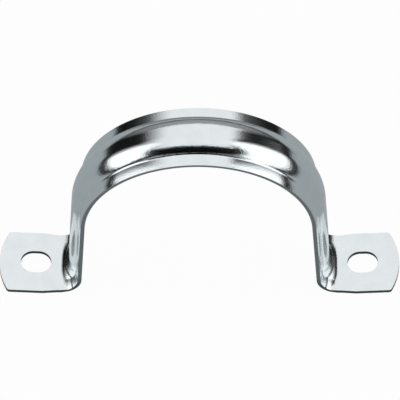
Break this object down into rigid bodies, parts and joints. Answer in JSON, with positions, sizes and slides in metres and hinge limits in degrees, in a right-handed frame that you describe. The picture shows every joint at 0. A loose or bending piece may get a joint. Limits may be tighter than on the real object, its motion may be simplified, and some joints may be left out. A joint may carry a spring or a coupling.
{
  "type": "conduit strap",
  "caption": "Two-lug strap folded from one ribbed steel strip: an arch over the conduit, two legs, and a slotted foot on each side.",
  "frame": {"origin": "on the wall plane, midway between the two heels, in the strap's middle plane", "axes": "+Z away from the wall, X from foot to foot, Y along the conduit"},
  "size_m": [0.1132, 0.0194, 0.0648],
  "materials": {
    "zinc_plated_steel": "bright zinc plating, fine grained, mirror-like with a faint blue cast"
  },
  "bodies": {
    "root": {"strap": "zinc_plated_steel"}
  },
  "joints": []
}
